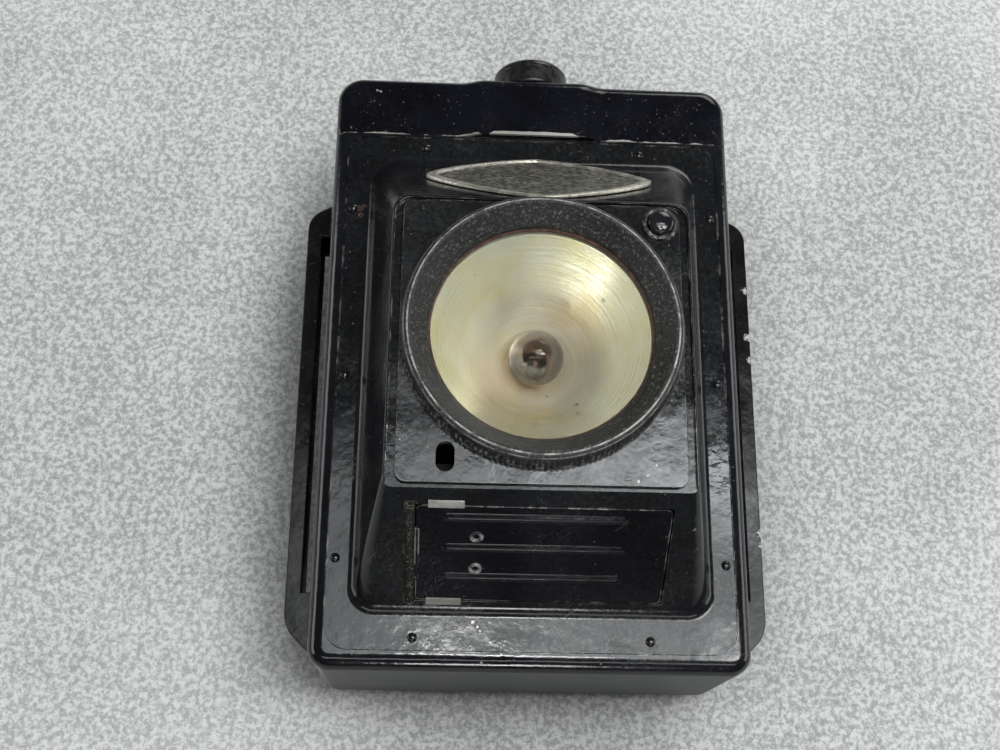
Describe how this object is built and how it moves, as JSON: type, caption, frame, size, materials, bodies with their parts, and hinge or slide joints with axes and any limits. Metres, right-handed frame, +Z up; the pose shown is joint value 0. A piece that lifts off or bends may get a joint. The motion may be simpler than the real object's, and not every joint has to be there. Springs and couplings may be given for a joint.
{
  "type": "battery hand lantern",
  "caption": "Upright battery hand lantern: pressed-steel case, tapered lamp housing with screw bezel, push button, hinged bulb flap, lift-off lid with clamping knob.",
  "frame": {"origin": "middle of the flat base of the case", "axes": "+Z up, +X to the right seen from the front, -Y towards the lens side"},
  "size_m": [0.147, 0.1077, 0.2035],
  "materials": {
    "case_paint": "worn gloss",
    "housing_paint": "worn satin",
    "bezel_metal": "gritty, worn edges",
    "bare_steel": "aged",
    "rusty_steel": "rusted",
    "brass": "dull",
    "silvering": "yellowed",
    "badge_metal": "aged",
    "clear_glass": "clear",
    "gasket": "perished",
    "black_plastic": "gloss",
    "fibre": "matt",
    "lead_cover": "matt",
    "cell_case": "matt"
  },
  "bodies": {
    "root": {"body_shell": "case_paint", "back_panel": "case_paint", "mouth_collar": "housing_paint", "front_cover": "housing_paint", "cover_rivet_1": "housing_paint", "cover_rivet_2": "housing_paint", "cover_rivet_3": "housing_paint", "cover_rivet_4": "housing_paint", "cover_rivet_5": "housing_paint", "cover_rivet_6": "housing_paint", "cover_rivet_7": "housing_paint", "cover_rivet_8": "housing_paint", "cover_rivet_9": "housing_paint", "cover_rivet_10": "housing_paint", "lens_plate": "housing_paint", "nameplate": "badge_metal", "lens_neck": "bare_steel", "lens_glass": "clear_glass", "reflector": "silvering", "bulb_glass": "clear_glass", "bulb_cap": "brass", "bulb_socket": "brass", "socket_insulator": "fibre", "socket_tongue": "brass", "button_collar": "bare_steel", "button_spring": "bare_steel", "contact_blade_fixed": "brass", "switch_block": "fibre", "hinge_leaf": "rusty_steel", "hinge_pin": "rusty_steel", "bulb_tray": "bare_steel", "spare_bulb_glass": "clear_glass", "spare_bulb_cap": "brass", "partition_board": "fibre", "battery_pad": "gasket", "cell_left": "cell_case", "cell_right": "cell_case", "cell_link": "brass", "lead_positive": "lead_cover", "lead_negative": "lead_cover", "lead_switch": "lead_cover", "lid_bridge": "housing_paint", "bridge_nut": "bare_steel", "strap_guide_left": "case_paint", "strap_guide_right": "case_paint", "rear_clip": "case_paint"},
    "lid": {"lid": "case_paint"},
    "lid_screw": {"lid_knob": "black_plastic", "knob_stud": "bare_steel"},
    "bezel_carrier": {"lens_gasket": "gasket"},
    "bezel": {"lens_bezel": "bezel_metal"},
    "button": {"push_button": "black_plastic"},
    "blade": {"contact_blade_moving": "brass"},
    "flap": {"flap_panel": "housing_paint", "flap_spring": "bare_steel", "flap_rivet_upper": "housing_paint", "flap_rivet_lower": "housing_paint"}
  },
  "joints": [
    {"name": "lid_lift", "type": "slide", "parent": "root", "child": "lid", "axis": [0, 0, 1], "range_m": [0, 0.04]},
    {"name": "knob_turn", "type": "hinge", "parent": "lid", "child": "lid_screw", "pos_m": [0, -0.016, 0.199], "axis": [0, 0, 1], "continuous": true},
    {"name": "bezel_travel", "type": "slide", "parent": "root", "child": "bezel_carrier", "axis": [0, -1, 0], "range_m": [0, 0.0031]},
    {"name": "bezel_turn", "type": "hinge", "parent": "bezel_carrier", "child": "bezel", "pos_m": [0, -0.07, 0.09], "axis": [0, -1, 0], "range_deg": [0, 1080]},
    {"name": "button_press", "type": "slide", "parent": "root", "child": "button", "axis": [0, 1, 0], "range_m": [0, 0.002], "stiffness_N_per_m": 300, "deforming": ["button_spring"]},
    {"name": "blade_bend", "type": "hinge", "parent": "root", "child": "blade", "pos_m": [0.0355, -0.0575, 0.102], "axis": [-1, 0, 0], "range_deg": [0, 5.3]},
    {"name": "flap_swing", "type": "hinge", "parent": "root", "child": "flap", "pos_m": [-0.0355, -0.06541, 0.0451], "axis": [0, 0.789, -0.6144], "range_deg": [0, 110]}
  ],
  "couplings": [
    {"joint": "bezel_travel", "follows": "bezel_turn", "m_per_rad": 0.00015915},
    {"joint": "blade_bend", "follows": "button_press", "rad_per_m": 44.843}
  ]
}
